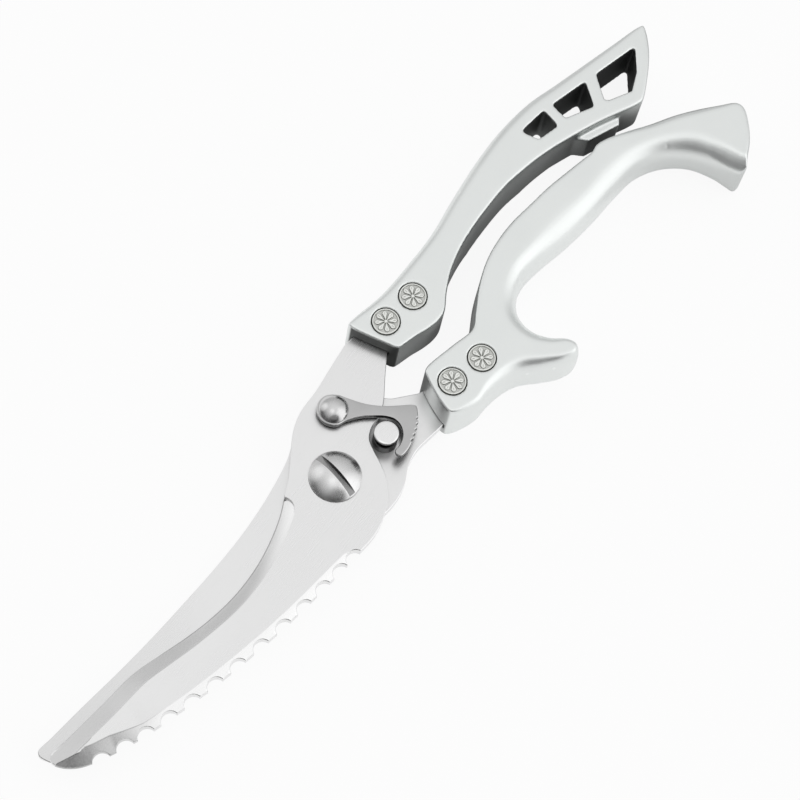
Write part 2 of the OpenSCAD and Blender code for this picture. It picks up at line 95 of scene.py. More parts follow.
LOWER_OUTLINE = [
    [30.3, -13.2, 0.6, 0.7], [30.9, -14.6, 0.6, 0.8], [33.4, -16.4, 1.2, 1.6], [37.9, -18.3, 2, 3],
    [42.5, -18.7, 3, 4.4], [47.2, -19.6, 3.6, 5.4], [51.9, -21.6, 3.8, 6], [56.7, -25.8, 3.2, 6.6],
    [61.1, -29.2, 2.4, 7], [65.4, -30.6, 2, 7.2], [68.1, -28.5, 1.8, 7.2], [67.8, -25.1, 2.2, 7],
    [65.3, -21, 3.4, 6.8], [64, -16.4, 4.4, 6.6], [65.3, -11.3, 5, 6.6], [69, -8, 5, 6.6],
    [75, -6.2, 5.2, 6.6], [82, -6.7, 5.6, 6.8], [92, -8.6, 7.2, 7], [103, -9.8, 6.8, 7],
    [113, -10.2, 6.8, 7], [121.6, -11.2, 5.8, 7], [128.9, -14.9, 5.4, 7], [133.9, -20.9, 6, 7],
    [136.2, -27.6, 4.6, 6.6], [137, -31, 2.8, 6], [138, -33.9, 1.2, 5], [139.4, -34.5, 0.8, 4],
    [141.7, -33.1, 1, 2.4], [146.4, -30.6, 1.1, 1.6], [150.4, -27.4, 1.1, 1.2],
    [153.6, -23.6, 1, 1.2], [153.6, -21.2, 1, 1.4], [150, -17.3, 2, 3],
    [145.4, -13.2, 2.8, 4], [140, -9.5, 2.8, 4], [133.4, -6, 2.4, 3.4], [126.6, -2.1, 1.6, 2.2],
    [121.6, 0.4, 0.9, 1], [118, 1.5, 0.5, 0.9], [115.6, 1.2, 0.5, 0.9], [112, 1.9, 0.8, 0.9],
    [106, 3.1, 1, 1], [99.5, 4.3, 1, 1], [92, 5.1, 1, 1], [85, 5.8, 1, 1], [78, 5.6, 1, 1],
    [71.3, 4.4, 1, 1], [64, 1.6, 1, 1], [57.5, -2, 0.8, 0.9], [53, -4.3, 0.6, 0.8],
    [46, -3, 0.8, 0.8], [37, -1.4, 0.6, 0.8], [35.4, -1.9, 0.5, 0.7]]
WINDOWS = [
    [[109.3, 20.2], [110.4, 15.1], [117.1, 13.4], [118.4, 19.2]],
    [[121.3, 18.4], [120.4, 13.2], [128.3, 9.2], [133, 15.5]],
    [[136.8, 14.5], [131.9, 8.2], [132.4, 7.2], [138.9, 3.8], [144.6, 6.2], [150.8, 11.1]]]
WINDOW_CORNER = 0.8
LUG = [[116.6, 10.5], [120.2, 4.6], [129.6, 0.9], [133.4, 4]]
LUG_FOOT = 1.5
LUG_DROP = 2.8
UPPER_TAB = [[30, 20.75], [33, 8], [36, 10.2], [42, 10.85], [56.2, 9.65], [57.2, 10.9], [57.2, 16.6],
             [56.2, 17.75], [42, 19.35]]
# The end walls that the tangs enter, the finger side that leans out, and the tail's finger side
UPPER_FORE = [[33.85, 20.9], [34, 20.4], [36.8, 9.4], [37.3, 8.3]]
LOWER_FORE = [[30.1, -13.4], [32.9, -7.5], [35.2, -1.8]]
FINGER_SIDE = np.array(UPPER_OUTLINE)[8:18]
DRAFT_RUN = [64, 76, 100, 112]
DRAFT_TOP = 0.45
DRAFT_BACK = 1.25
TAIL = [corner[:2] for corner in LOWER_OUTLINE[22:27]] + [[139.2, -37.5]]
TAIL_KNOTS = [0, 0.2, 0.5, 0.65, 0.8, 1]
TAIL_WIDTH = [4.8, 5.3, 5.2, 4.8, 4.2, 4]
TAIL_DROP = [6.9, 6.9, 5.8, 4.9, 4.1, 3.8]
LOWER_TAB = [[27, -12.3], [30.6, -13.1], [37, -14.35], [52.6, -15.8], [53.6, -14.7], [53.2, -7.7],
             [52, -6.6], [38, -4.05], [33.2, -2.2], [28, 0]]

# Blade outlines, counter-clockwise from the top of the tang
FRONT_TANG = [[31, 20.5], [24, 19.6], [16, 18.5], [8.5, 18], [3.5, 16.4], [-2, 13.1], [-8, 9.2]]
CUTTING_EDGE = [[-12.3, 7.1], [-17, 4.9], [-24, 2.7], [-32, 1.2], [-41, 0.9], [-49.5, 1.9], [-57, 3.6],
                [-65, 6], [-73, 8.2], [-84, 9.2], [-95, 10.3], [-101.6, 10.9]]
FRONT_TIP = [[-103, 9.6], [-102.4, 7], [-100, 3.8], [-96.6, 1.4]]
SCALER_SPINE = [[-92, -0.9], [-84, -4.2], [-74, -7.2], [-63.5, -9.9], [-52.5, -12.2], [-41, -14.2],
                [-30, -15.6], [-20, -16.6], [-12.5, -17.3]]
FRONT_HEEL = [[-6.5, -17.6], [-1.5, -16.7], [3.6, -14.4], [7.6, -11.1], [10.2, -7.2], [12, -3.6],
              [13.9, -0.6], [17, 0.9], [20.6, 1.1], [24.6, 2.8], [30, 6.4], [36.2, 10.4]]
FRONT_TAB = [[42, 11], [56, 9.8], [57, 11], [57, 16.4], [56, 17.6], [42, 19.2]]
REAR_SPINE = [[27.6, 2.2], [24, 7.4], [17, 13], [9, 15.8], [3, 15.4], [-3, 13.2], [-9, 11.8], [-18, 10.4],
              [-28, 9.6], [-39, 9.5], [-51, 9.9], [-63, 10.5], [-75, 11.5], [-88, 12.9], [-98, 13.8],
              [-102.5, 14.2]]
REAR_TIP = [[-103.3, 13.2], [-103.1, 11], [-102.4, 9.3]]
REAR_EDGE = [[-99, 8.3], [-90, 7.5], [-80, 6.6], [-72, 5.2], [-64, 2.9], [-55, 0.4], [-46, -1.1],
             [-38, -1.6], [-30, -1.5], [-22, -1.2]]
REAR_HEEL = [[-15.5, -3], [-11.5, -8], [-6.5, -13], [-0.5, -15.4], [5.8, -15.9], [10.8, -14.9],
             [15, -12.8], [20, -11.7], [25.4, -12.2], [30.6, -12.9]]
REAR_TAB = [[37, -14.2], [52.4, -15.6], [53.4, -14.6], [53, -7.8], [52, -6.8], [38, -4.2], [33.2, -2.4]]
SCALLOPS = 12
SCALLOP_R = 2.5
TIP_SCALLOP = [-95.1, -0.2]
TIP_LINE = [[-96.9, 5.5], [-103.4, 8.7]]
BEVEL_START = [-15.6, 5.5]
BEVEL_START_R = 3.4
BEVEL_W = 3.9
BEVEL_D = 2.4
SPINE_BEVEL_W = 2.6
SPINE_BEVEL_D = 0.8
LEVER_EDGE = 0.28
STUD_NECK_R = 2.4
SHANK_R = 2.45
SHANK_END = 2.9

LEVER_OUTLINE = [
    [9.4, 11.3], [10.6, 8.2], [13.4, 6.9], [16.6, 4.6], [19, 2], [20.9, -0.6], [21.7, -2.9],
    [21.2, -5.2], [19.4, -7.2], [16.8, -8.1], [15, -8.1], [14.3, -8.9], [14.6, -10.1],
    [16.6, -10.5], [20.6, -9.8], [24.4, -8.4], [27.4, -6], [28.2, -4.9], [27.8, -3.9], [25.5, -1.4],
    [22.6, 2], [20.2, 6], [18.8, 9.8], [17.6, 13.2], [15.4, 15.4], [12.6, 15.6], [10.2, 14]]
SERRATIONS = [[25.7, -7.6], [24.4, -8.5], [22.95, -9.15], [21.45, -9.65], [19.95, -10.05]]
SERRATION_R = 0.5
SLOT_TURN = 79
SLOT_W = 1.8
SLOT_DEEP = 2.5


# ---------------------------------------------------------------- curves
def between(a, b, c, d, u):
    """Centripetal Catmull-Rom point between b and c."""
    def gap(p, q):
        return math.sqrt(math.hypot(q[0] - p[0], q[1] - p[1]))

    def tangent(p, q, r, pq, qr):
        return (q - p) / pq - (r - p) / (pq + qr) + (r - q) / qr

    ab, bc, cd = gap(a, b), gap(b, c), gap(c, d)
    m, n = bc * tangent(a, b, c, ab, bc), bc * tangent(b, c, d, bc, cd)
    return ((2 * u**3 - 3 * u**2 + 1) * b + (u**3 - 2 * u**2 + u) * m
            + (3 * u**2 - 2 * u**3) * c + (u**3 - u**2) * n)


def closed_curve(points, steps):
    p = np.array(points, float)
    n = len(p)
    return np.array([between(p[i - 1], p[i], p[(i + 1) % n], p[(i + 2) % n], s / steps)
                     for i in range(n) for s in range(steps)])


def open_curve(points, steps):
    p = np.array(points, float)
    q = np.vstack([2 * p[0] - p[1], p, 2 * p[-1] - p[-2]])
    inner = [between(q[i - 1], q[i], q[i + 1], q[i + 2], s / steps)
             for i in range(1, len(p)) for s in range(steps)]
    return np.array(inner + [p[-1]])


def inward(path, closed):
    """Unit normals that point into a counter-clockwise outline."""
    xy = path[:, :2]
    if closed:
        along = np.roll(xy, -1, 0) - np.roll(xy, 1, 0)
    else:
        along = np.gradient(xy, axis=0)
    along /= np.linalg.norm(along, axis=1)[:, None] + 1e-12
    return np.stack([-along[:, 1], along[:, 0]], 1)


def resample(path, step, closed=True):
    """The same line with points at an even spacing, keeping its own corners."""
    out = []
    count = len(path) if closed else len(path) - 1
    for i in range(count):
        a, b = path[i], path[(i + 1) % len(path)]
        parts = max(1, int(math.ceil(np.linalg.norm(b - a) / step)))
        out += [a + (b - a) * k / parts for k in range(parts)]
    return np.array(out if closed else out + [path[-1]])


def bite(path, centre, radius, steps=18):
    """A closed counter-clockwise outline with a round bite cut into it."""
    centre = np.array(centre, float)
    inside = np.linalg.norm(path - centre, axis=1) < radius
    if not inside.any():
        return path
    start = next(i for i in range(len(path)) if inside[i] and not inside[i - 1])
    order = np.roll(np.arange(len(path)), -start)
    run = 0
    while inside[order[run]]:
        run += 1
    before, after = path[order[-1]] - centre, path[order[run]] - centre
    a0, a1 = math.atan2(before[1], before[0]), math.atan2(after[1], after[0])
    while a1 > a0:
        a1 -= 2 * math.pi
    arc = [centre + radius * np.array([math.cos(a), math.sin(a)]) for a in np.linspace(a0, a1, steps)]
    return np.vstack([arc, path[order[run:]]])


def distance_to(line, points, closed=False):
    """Distance of each point from a polyline, and how far along the line the nearest place is."""
    a = line
    b = np.roll(line, -1, 0) if closed else line[1:]
    a = a if closed else line[:-1]
    ab = b - a
    best = np.full(len(points), 1e9)
    where = np.zeros(len(points))
    length = np.concatenate([[0], np.cumsum(np.linalg.norm(ab, axis=1))])
    for i in range(len(a)):
        t = np.clip(((points - a[i]) @ ab[i]) / max(ab[i] @ ab[i], 1e-12), 0, 1)
        d = np.linalg.norm(points - (a[i] + t[:, None] * ab[i]), axis=1)
        nearer = d < best
        best[nearer] = d[nearer]
        where[nearer] = (length[i] + t * (length[i + 1] - length[i]))[nearer] / length[-1]
    return best, where


def progress(line):
    """How far along the line each of its points lies, from 0 to 1."""
    steps = np.linalg.norm(np.diff(line, axis=0), axis=1)
    return np.concatenate([[0], np.cumsum(steps)]) / steps.sum()


def bevel_lines(line, widths, fractions):
    """The line moved inward by these fractions of the bevel's width."""
    normal = inward(line, False)
    return [line + normal * (widths * f)[:, None] for f in fractions]


def contains(loop, points):
    """True for each point inside a closed outline."""
    x, y = points[:, 0], points[:, 1]
    inside = np.zeros(len(points), bool)
    for (x1, y1), (x2, y2) in zip(loop, np.roll(loop, -1, 0)):
        crosses = (y1 > y) != (y2 > y)
        inside ^= crosses & (x < (x2 - x1) * (y - y1) / (y2 - y1 if y2 != y1 else 1e-12) + x1)
    return inside


def circle(centre, radius, count=48):
    a = np.linspace(0, 2 * math.pi, count, endpoint=False)
    return np.stack([centre[0] + radius * np.cos(a), centre[1] + radius * np.sin(a)], 1)


def rounded(corners, radius):
    """A polygon with its corners replaced by arcs."""
    c = np.array(corners, float)
    out = []
    for i in range(len(c)):
        a, b, d = c[i - 1], c[i], c[(i + 1) % len(c)]
        u, v = (a - b) / np.linalg.norm(a - b), (d - b) / np.linalg.norm(d - b)
        half = math.acos(max(-1, min(1, float(u @ v)))) / 2
        back = min(radius / math.tan(half), 0.45 * np.linalg.norm(a - b), 0.45 * np.linalg.norm(d - b))
        p, q = b + u * back, b + v * back
        out += [(1 - t)**2 * p + 2 * t * (1 - t) * b + t**2 * q for t in np.linspace(0, 1, 6)]
    return np.array(out)


# ---------------------------------------------------------------- meshes
def new_object(name, points, faces):
    mesh = bpy.data.meshes.new(name)
    places = [tuple(float(c) * MM for c in p) for p in points]
    mesh.from_pydata(places, [], [list(map(int, face)) for face in faces])
    mesh.validate()
    obj = bpy.data.objects.new(name, mesh)
    bpy.context.scene.collection.objects.link(obj)
    work = bmesh.new()
    work.from_mesh(mesh)
    bmesh.ops.recalc_face_normals(work, faces=work.faces)
    work.to_mesh(mesh)
    work.free()
    return obj


def ring_solid(name, rings):
    """Solid through a stack of rings with the same number of points, with flat ends."""
    n = len(rings[0])
    points = [p for ring in rings for p in ring]
    faces = [[k * n + i, k * n + (i + 1) % n, (k + 1) * n + (i + 1) % n, (k + 1) * n + i]
             for k in range(len(rings) - 1) for i in range(n)]
    faces += [list(range(n))[::-1], [(len(rings) - 1) * n + i for i in range(n)]]
    return new_object(name, points, faces)


def prism(loop, low, high):
    return ring_solid("cutter", [[(x, y, z) for x, y in loop] for z in (low, high)])


def bake(obj):
    """Applies the object's modifiers to its mesh."""
    graph = bpy.context.evaluated_depsgraph_get()
    mesh = bpy.data.meshes.new_from_object(obj.evaluated_get(graph))
    obj.modifiers.clear()
    obj.data = mesh


def combine(obj, cutters, operation="DIFFERENCE"):
    for cutter in cutters:
        step = obj.modifiers.new("cut", "BOOLEAN")
        step.operation, step.solver, step.object = operation, "EXACT", cutter
        bake(obj)
        bpy.data.objects.remove(cutter)


def lathe(name, profile, centre=(0, 0), segments=96):
    """Solid of revolution about a vertical axis; the profile runs from the axis out and back to it."""
    rows = [p for p in profile if p[0] > 1e-6]
    points = [(centre[0] + r * math.cos(a), centre[1] + r * math.sin(a), z) for r, z in rows
              for a in np.linspace(0, 2 * math.pi, segments, endpoint=False)]
    faces = [[k * segments + i, k * segments + (i + 1) % segments,
              (k + 1) * segments + (i + 1) % segments, (k + 1) * segments + i]
             for k in range(len(rows) - 1) for i in range(segments)]
    first, last = len(points), len(points) + 1
    points += [(centre[0], centre[1], profile[0][1]), (centre[0], centre[1], profile[-1][1])]
    base = (len(rows) - 1) * segments
    for i in range(segments):
        faces.append([first, (i + 1) % segments, i])
        faces.append([last, base + i, base + (i + 1) % segments])
    return new_object(name, points, faces)


def dome(radius, low, height, steps=14, rim=0.25):
    """Profile of a domed head: up from its underside, over a small rim and across the dome."""
    ball = (radius**2 + (height - rim)**2) / (2 * (height - rim))
    span = math.asin(min(1, radius / ball))
    middle = low + height - ball
    arc = [(ball * math.sin(t), middle + ball * math.cos(t)) for t in np.linspace(span, 0, steps)]
    return [(radius - 0.08, low), (radius, low + 0.08)] + arc


def smooth(obj, degrees):
    for face in obj.data.polygons:
        face.use_smooth = True
    obj.data.set_sharp_from_angle(angle=math.radians(degrees))


def set_attribute(obj, name, values):
    layer = obj.data.attributes.new(name, "FLOAT", "POINT")
    layer.data.foreach_set("value", np.asarray(values, np.float32))


def xyz(obj):
    co = np.empty(len(obj.data.vertices) * 3)
    obj.data.vertices.foreach_get("co", co)
    return co.reshape(-1, 3) / MM


def finish_piece(obj, body, material, nodes):
    obj.data.materials.clear()
    obj.data.materials.append(material)
    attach(obj, body)
    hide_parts(*nodes)


def field_plate(name, outline, holes, lines, low, high):
    """Plate whose faces are height fields: low and high give z from the plan points."""
    loops = [outline] + holes
    seeds, edges = [], []
    for line, closed in [(loop, True) for loop in loops] + [(line, False) for line in lines]:
        start = len(seeds)
        seeds += [Vector((float(p[0]), float(p[1]))) for p in line]
        count = len(line) if closed else len(line) - 1
        edges += [(start + i, start + (i + 1) % len(line)) for i in range(count)]
    made = delaunay_2d_cdt(seeds, edges, [], 0, 1e-5)
    plan = np.array([tuple(v) for v in made[0]])
    triangles = np.array([f for f in made[2] if len(f) == 3])
    middle = plan[triangles].mean(1)
    keep = contains(outline, middle)
    for hole in holes:
        keep &= ~contains(hole, middle)
    triangles = triangles[keep]
    used = np.unique(triangles)
    index = np.full(len(plan), -1)
    index[used] = np.arange(len(used))
    plan, triangles = plan[used], index[triangles]
    n = len(plan)
    sides = {}
    for t in triangles:
        for a, b in ((t[0], t[1]), (t[1], t[2]), (t[2], t[0])):
            sides[(a, b)] = sides.get((a, b), 0) + 1
    rim = [(a, b) for a, b in sides if (b, a) not in sides]
    points = np.vstack([np.column_stack([plan, high(plan)]), np.column_stack([plan, low(plan)])])
    faces = [list(t) for t in triangles] + [[c + n, b + n, a + n] for a, b, c in triangles]
    faces += [[a, a + n, b + n, b] for a, b in rim]
    return new_object(name, points, faces)


# ---------------------------------------------------------------- materials
KEY_SIDE = (0.6, 0.48, 0.64)
# Dark colour of the painted shade on the cast handles
PAINTED_SHADE_CAST = (0.03, 0.033, 0.031)
# Dark colour of the painted shade on the blades and the latch, also used for the darker grind behind the
# tip
PAINTED_SHADE_STEEL = (0.05, 0.05, 0.05)


class Shader:
    """Small helper that adds nodes and joins them by value or by socket."""

    def __init__(self, name, owner=None):
        self.material = owner or bpy.data.materials.new(name)
        self.material.use_nodes = True
        self.tree = self.material.node_tree
        self.tree.nodes.clear()

    def node(self, kind, inputs=None, **settings):
        made = self.tree.nodes.new(kind)
        for key, value in settings.items():
            setattr(made, key, value)
        for key, value in (inputs or {}).items():
            if isinstance(value, bpy.types.NodeSocket):
                self.tree.links.new(value, made.inputs[key])
            else:
                made.inputs[key].default_value = value
        return made

    def math(self, operation, a, b=0.0, c=0.0):
        return self.node("ShaderNodeMath", {0: a, 1: b, 2: c}, operation=operation).outputs[0]

    def position(self, scale):
        """Object coordinates stretched by scale, in units of one over a millimetre."""
        place = self.node("ShaderNodeTexCoord").outputs["Object"]
        stretch = [s / MM for s in scale]
        return self.node("ShaderNodeVectorMath", {0: place, 1: stretch}, operation="MULTIPLY").outputs[0]

    def noise(self, scale, detail=3.0, rough=0.55):
        return self.node("ShaderNodeTexNoise", {"Vector": self.position(scale), "Scale": 1.0,
                                                "Detail": detail, "Roughness": rough}).outputs[0]

    def ramp(self, value, low, high, out_low=0.0, out_high=1.0):
        return self.node("ShaderNodeMapRange", {"Value": value, "From Min": low, "From Max": high,
                                                "To Min": out_low, "To Max": out_high}).outputs[0]

    def mix(self, factor, a, b):
        made = self.node("ShaderNodeMix", {"Factor": factor}, data_type="RGBA")
        for socket, value in ((made.inputs[6], a), (made.inputs[7], b)):
            if isinstance(value, bpy.types.NodeSocket):
                self.tree.links.new(value, socket)
            else:
                socket.default_value = (*value, 1.0)
        return made.outputs[2]

    def attribute(self, name):
        return self.node("ShaderNodeAttribute", attribute_name=name).outputs["Fac"]

    def edges(self):
        """1 along convex edges."""
        return self.ramp(self.node("ShaderNodeNewGeometry").outputs["Pointiness"], 0.52, 0.6)

    def facing(self, low, high):
        """0 to 1 as a face's upward tilt, the Z of its normal, goes from low to high."""
        normal = self.node("ShaderNodeNewGeometry").outputs["Normal"]
        return self.ramp(self.node("ShaderNodeSeparateXYZ", {0: normal}).outputs[2], low, high)

    def upright(self):
        """1 on walls that stand upright, 0 on faces that look up."""
        return self.facing(0.45, 0.1)

    def sheltered(self, amount, reach, start, full, tilt, **towards):
        """Darkening where neighbours close off the light, on faces that look up by more than tilt."""
        node = self.node("ShaderNodeAmbientOcclusion", {"Distance": reach * MM, **towards}, samples=16)
        open_face = self.facing(tilt, tilt + 0.3)
        return self.math("MULTIPLY", self.ramp(node.outputs["AO"], start, full, 0, amount), open_face)

    def bump(self, height, strength, distance):
        return self.node("ShaderNodeBump", {"Height": height, "Strength": strength,
                                            "Distance": distance * MM}).outputs[0]

    def metal(self, colour, roughness, normal=None, **extra):
        inputs = {"Base Color": colour, "Metallic": 1.0, "Roughness": roughness}
        if normal is not None:
            inputs["Normal"] = normal
        inputs.update(extra)
        shader = self.node("ShaderNodeBsdfPrincipled", inputs)
        self.node("ShaderNodeOutputMaterial", {"Surface": shader.outputs[0]})
        return self.material


def cast_material():
    """Bead-blasted cast metal: fine grain, cloudy sheen, rubbed edges, and painted shade in the windows, on
    the end walls and where neighbours close off the light.
    """
    s = Shader("cast_handle_satin")
    grain = s.noise((5.5, 5.5, 5.5), 2.0, 0.6)
    cloud = s.noise((0.07, 0.07, 0.07), 3.0)
    recess = s.attribute("recess")
    wear_and_highlight = s.edges()
    tone = s.mix(cloud, (0.79, 0.815, 0.805), (0.86, 0.88, 0.87))
    tone = s.mix(s.math("MULTIPLY", wear_and_highlight, 0.6), tone, (0.93, 0.94, 0.935))
    # Painted shade: occlusion darkening, joined with the dark window walls and end walls from the recess
    # attribute
    shelter = s.sheltered(0.85, 12, 0.5, 0.1, -0.5)
    colour = s.mix(s.math("MAXIMUM", recess, shelter), tone, PAINTED_SHADE_CAST)
    rough = s.math("ADD", s.ramp(cloud, 0.3, 0.7, 0.34, 0.42), s.ramp(grain, 0.3, 0.7, -0.03, 0.05))
    rough = s.math("SUBTRACT", rough, s.math("MULTIPLY", wear_and_highlight, 0.1))
    rough = s.math("MAXIMUM", rough, s.math("MULTIPLY", recess, 0.7))
    normal = s.bump(grain, 0.35, 0.02)
    return s.metal(colour, rough, normal)


def blade_material():
    """Brushed stainless: fine lines along the blade and across its bevels, painted shade lines, and painted
    shadow near the latch.
    """
    s = Shader("blade_brushed_steel")
    ground = s.attribute("ground")
    along = s.noise((0.12, 7.0, 2.0), 3.0, 0.7)
    across = s.noise((7.0, 0.25, 2.0), 3.0, 0.7)
    line = s.mix(ground, along, across)
    cloud = s.noise((0.05, 0.09, 0.05), 3.0)
    scratch = s.ramp(s.noise((0.25, 3.2, 1.0), 1.0, 0.4), 0.66, 0.72)
    colour = s.mix(cloud, (0.80, 0.80, 0.80), (0.86, 0.86, 0.86))
    colour = s.mix(s.math("MULTIPLY", scratch, 0.08), colour, (0.6, 0.6, 0.6))
    grit = s.ramp(s.noise((2.6, 2.6, 2.6), 2.0), 0.35, 0.65, 0.88, 1.08)
    # Painted shade lines along the edge and the ridges, and the darker grind behind the tip, from the shade
    # attribute
    colour = s.mix(s.math("MULTIPLY", s.attribute("shade"), grit), colour, PAINTED_SHADE_STEEL)
    place = s.node("ShaderNodeSeparateXYZ", {0: s.position((1, 1, 1))}).outputs[0]
    # Painted shadow from occlusion towards the key side, only near the latch
    shelter = s.sheltered(0.85, 3.5, 0.6, 0.15, 0.3, Normal=KEY_SIDE)
    colour = s.mix(s.math("MULTIPLY", shelter, s.ramp(place, 3, 7)), colour, PAINTED_SHADE_STEEL)
    rough = s.math("ADD", s.ramp(cloud, 0.3, 0.7, 0.25, 0.31), s.ramp(line, 0.3, 0.7, -0.015, 0.02))
    rough = s.math("SUBTRACT", rough, s.math("MULTIPLY", ground, 0.05))
    normal = s.bump(line, 0.12, 0.012)
    return s.metal(colour, rough, normal, Anisotropic=0.4)


def sheet_material():
    """Stamped latch steel: darker and tumbled, with a painted highlight along its rounded top edge and
    painted shade on its upright sides.
    """
    s = Shader("latch_satin_steel")
    speck = s.noise((3.0, 3.0, 3.0), 3.0, 0.6)
    cloud = s.noise((0.2, 0.2, 0.2), 2.0)
    wear_and_highlight = s.attribute("edge")
    colour = s.mix(cloud, (0.47, 0.47, 0.47), (0.54, 0.54, 0.54))
    # Painted highlight along the rounded top edge
    colour = s.mix(wear_and_highlight, colour, (0.85, 0.85, 0.85))
    # Painted shade on the upright sides
    colour = s.mix(s.upright(), colour, PAINTED_SHADE_STEEL)
    rough = s.math("ADD", s.ramp(speck, 0.3, 0.7, 0.3, 0.4), s.math("MULTIPLY", wear_and_highlight, -0.12))
    return s.metal(colour, rough, s.bump(speck, 0.25, 0.015))


def polished_material(name, tone, side_shade, low_rough, high_rough):
    """Polished steel with hairline scratches; upright sides take a darker tone and the shade attribute
    darkens more, both painted shade.
    """
    s = Shader(name)
    hair = s.ramp(s.noise((0.5, 6.0, 1.0), 1.0, 0.4), 0.62, 0.68)
    smear = s.noise((0.3, 0.3, 0.3), 3.0)
    colour = s.mix(smear, (tone - 0.04,) * 3, (tone + 0.04,) * 3)
    # Painted shade on the upright sides, then on the parts marked by the shade attribute
    colour = s.mix(s.upright(), colour, (side_shade, side_shade, side_shade))
    colour = s.mix(s.attribute("shade"), colour, (0.02, 0.02, 0.02))
    rough = s.math("ADD", s.ramp(smear, 0.3, 0.7, low_rough, high_rough), s.math("MULTIPLY", hair, 0.12))
    return s.metal(colour, rough, s.bump(s.noise((4.0, 4.0, 4.0), 2.0), 0.12, 0.01))


def rosette_material():
    """Antiqued nickel: bright petals, dark patina in the ground between them, and painted shade at the
    head's rim.
    """
    s = Shader("rosette_antique_nickel")
    recess = s.attribute("recess")
    speck = s.noise((2.2, 2.2, 2.2), 3.0)
    colour = s.mix(speck, (0.80, 0.81, 0.78), (0.90, 0.91, 0.88))
    colour = s.mix(recess, colour, (0.11, 0.115, 0.10))
    rough = s.math("ADD", s.ramp(speck, 0.3, 0.7, 0.3, 0.42), s.math("MULTIPLY", recess, 0.2))
    return s.metal(colour, rough, s.bump(speck, 0.3, 0.02))


def wire_material(name, tone):
    """Drawn or turned plain steel for the hidden hardware."""
    s = Shader(name)
    speck = s.noise((2.0, 2.0, 2.0), 3.0)
    colour = s.mix(speck, tuple(t * 0.85 for t in tone), tone)
    rough = s.ramp(speck, 0.3, 0.7, 0.28, 0.42)
    return s.metal(colour, rough, s.bump(speck, 0.2, 0.01))


CAST = cast_material()
BLADE = blade_material()
SHEET = sheet_material()
POLISHED = polished_material("polished_steel", 0.66, 0.14, 0.16, 0.24)
STUD_STEEL = polished_material("stud_steel", 0.84, 0.04, 0.2, 0.28)
SCREW_STEEL = polished_material("screw_steel", 0.75, 0.03, 0.24, 0.3)
ROSETTE = rosette_material()
WIRE = wire_material("spring_wire_steel", (0.42, 0.42, 0.43))
HARDWARE = wire_material("hardware_steel", (0.72, 0.72, 0.72))


# ---------------------------------------------------------------- handles
VOXEL = 0.36
EDGE_STEPS = 9
# How dark the painted shade gets on the end walls (upper, lower) and in the windows
FORE_SHADE = (0.88, 0.45)
WINDOW_SHADE = 0.82


def casting(name, outline, depth):
    """Solid of the outline with its edges curved over on the face and on the back."""
    path = closed_curve(outline, 10)
    normal = inward(path, True)
    rings = []
    for back in (True, False):
        for k in range(EDGE_STEPS + 1):
            turn = math.pi / 2 * (1 - k / EDGE_STEPS if back else k / EDGE_STEPS)
            plan = path[:, :2] + normal * (path[:, 2] * (1 - math.cos(turn)))[:, None]
            drop = path[:, 3] * (1 - math.sin(turn))
            rings.append(np.column_stack([plan, drop if back else depth - drop]))
    return ring_solid(name, rings)


def post_cutters(pos, depth):
    return [prism(circle(pos, POST_R + PLAY), -1, depth + 1),
            prism(circle(pos, ROSETTE_R + 0.12, 64), depth - POST_HEAD_T, depth + 1),
            prism(circle(pos, SCREW_SINK_R), -1, SCREW_SINK_T)]


def soften(obj):
    """Even skin of small quads over the whole casting, which rounds every cut edge a little."""
    skin = obj.modifiers.new("skin", "REMESH")
    skin.mode, skin.voxel_size = "VOXEL", VOXEL * MM
    relax = obj.modifiers.new("relax", "SMOOTH")
    relax.factor, relax.iterations = 0.5, 5
    bake(obj)


def depth_in(loops, points, reach):
    """1 well inside any of the loops, 0 outside them."""
    value = np.zeros(len(points))
    for loop in loops:
        loop = np.array(loop, float)
        d, _ = distance_to(loop, points[:, :2], closed=True)
        inside = contains(loop, points[:, :2])
        value = np.maximum(value, np.where(inside, 1.0, np.clip(1 - d / reach, 0, 1)))
    return value


def fore_wall(line, points, depth):
    """1 on the end wall that the tang enters, fading out at its front edge."""
    near, _ = distance_to(np.array(line, float), points[:, :2])
    return np.clip((0.6 - near) / 0.25, 0, 1) * np.clip((depth - 0.35 - points[:, 2]) / 0.4, 0, 1)


def draft(points):
    """The upper handle's finger side leans out towards its back."""
    edge = np.interp(points[:, 0], FINGER_SIDE[:, 0], FINGER_SIDE[:, 1])
    near = np.clip((edge + 2.5 - points[:, 1]) / 2, 0, 1)
    along = np.interp(points[:, 0], DRAFT_RUN, [0, 1, 1, 0])
    lean = DRAFT_TOP + (DRAFT_BACK - DRAFT_TOP) * (1 - points[:, 2] / UPPER_DEPTH)
    moved = points.copy()
    moved[:, 1] -= near * along * lean
    return moved


def make_upper_handle():
    obj = casting("upper_handle_casting", UPPER_OUTLINE, UPPER_DEPTH)
    combine(obj, [prism(rounded(LUG, 0.6), LUG_FOOT, UPPER_DEPTH - LUG_DROP)], "UNION")
    windows = [rounded(w, WINDOW_CORNER) for w in WINDOWS]
    cutters = [prism(w, -1, UPPER_DEPTH + 1) for w in windows]
    cutters.append(prism(UPPER_TAB, FRONT_Z - PLAY, FRONT_TOP + PLAY))
    for pos in UPPER_POSTS:
        cutters += post_cutters(pos, UPPER_DEPTH)
    combine(obj, cutters)
    soften(obj)
    points = draft(xyz(obj))
    obj.data.vertices.foreach_set("co", (points * MM).ravel())
    # Painted shade: the window walls and the end wall that the tang enters are darkened
    deep = np.clip((np.minimum(points[:, 2], UPPER_DEPTH - points[:, 2]) - 0.35) / 0.5, 0, 1)
    dark = WINDOW_SHADE * depth_in(windows, points, 0.3) * deep
    wall = FORE_SHADE[0] * fore_wall(UPPER_FORE, points, UPPER_DEPTH)
    set_attribute(obj, "recess", np.maximum(dark, wall))
    smooth(obj, 180)
    finish_piece(obj, "front_half", CAST, ["upper_handle"])


